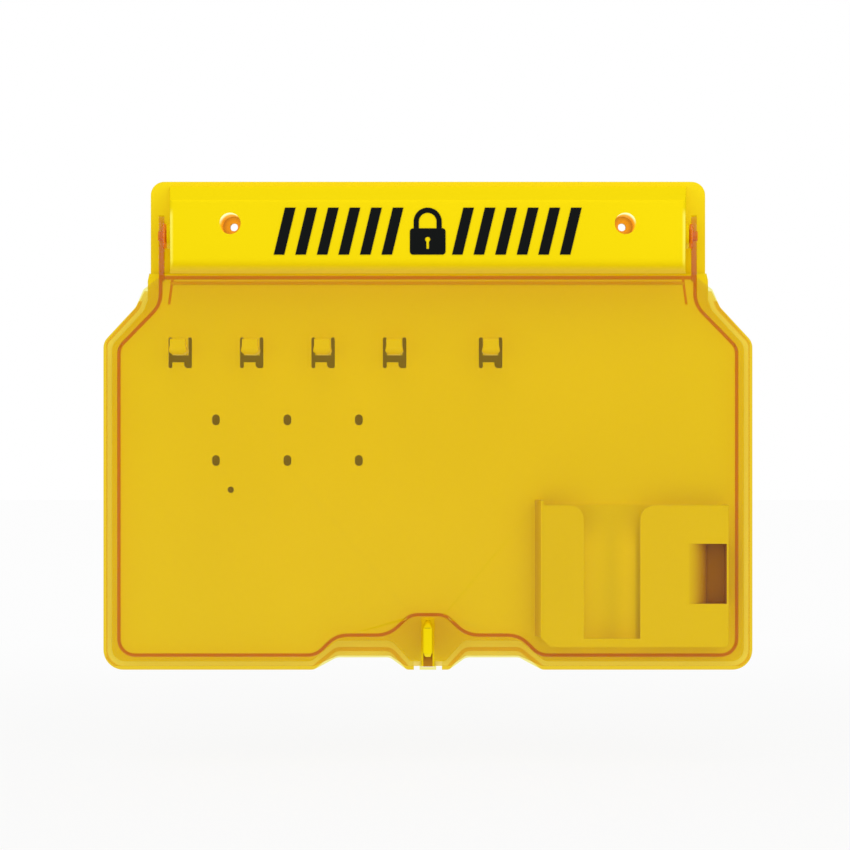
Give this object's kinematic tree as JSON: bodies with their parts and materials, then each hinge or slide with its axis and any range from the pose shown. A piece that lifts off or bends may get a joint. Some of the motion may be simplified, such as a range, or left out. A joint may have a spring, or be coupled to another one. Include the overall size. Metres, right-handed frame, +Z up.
{
  "type": "wall lockout station",
  "caption": "Wall board with padlock hooks, a tag pocket, a sign header and a see-through hinged cover that a padlock can lock shut.",
  "frame": {"origin": "midway between the two wall-screw holes, on the wall plane", "axes": "+X along the wall to the right as seen from the front, +Z up, and the front of the station faces -Y"},
  "size_m": [0.406, 0.0445, 0.3063],
  "materials": {
    "board_yellow": "satin moulded thermoplastic, strong yellow",
    "header_yellow": "satin moulded thermoplastic, strong yellow",
    "hook_yellow": "satin moulded thermoplastic, strong yellow",
    "sign_black": "matt black printed film",
    "cover_amber": "clear amber polycarbonate with glossy faces",
    "hinge_amber": "deep amber polycarbonate",
    "screw_steel": "zinc-plated steel"
  },
  "bodies": {
    "station": {"back_board": "board_yellow", "header_housing": "header_yellow", "sign_symbols": "sign_black", "header_screws": "screw_steel", "padlock_hook_1": "hook_yellow", "padlock_hook_2": "hook_yellow", "padlock_hook_3": "hook_yellow", "padlock_hook_4": "hook_yellow", "hasp_hook": "hook_yellow", "hook_screws": "screw_steel", "lock_staple": "header_yellow", "staple_screws": "screw_steel", "tag_pocket": "board_yellow", "pocket_screws": "screw_steel"},
    "cover": {"cover_shell": "cover_amber", "hinge_pin_left": "hinge_amber", "hinge_pin_right": "hinge_amber", "hinge_washer_left": "hinge_amber", "hinge_washer_right": "hinge_amber"}
  },
  "joints": [
    {"name": "cover_hinge", "type": "hinge", "parent": "station", "child": "cover", "pos_m": [0, -0.018, -0.0065], "axis": [-1, 0, 0], "range_deg": [0, 145]}
  ]
}
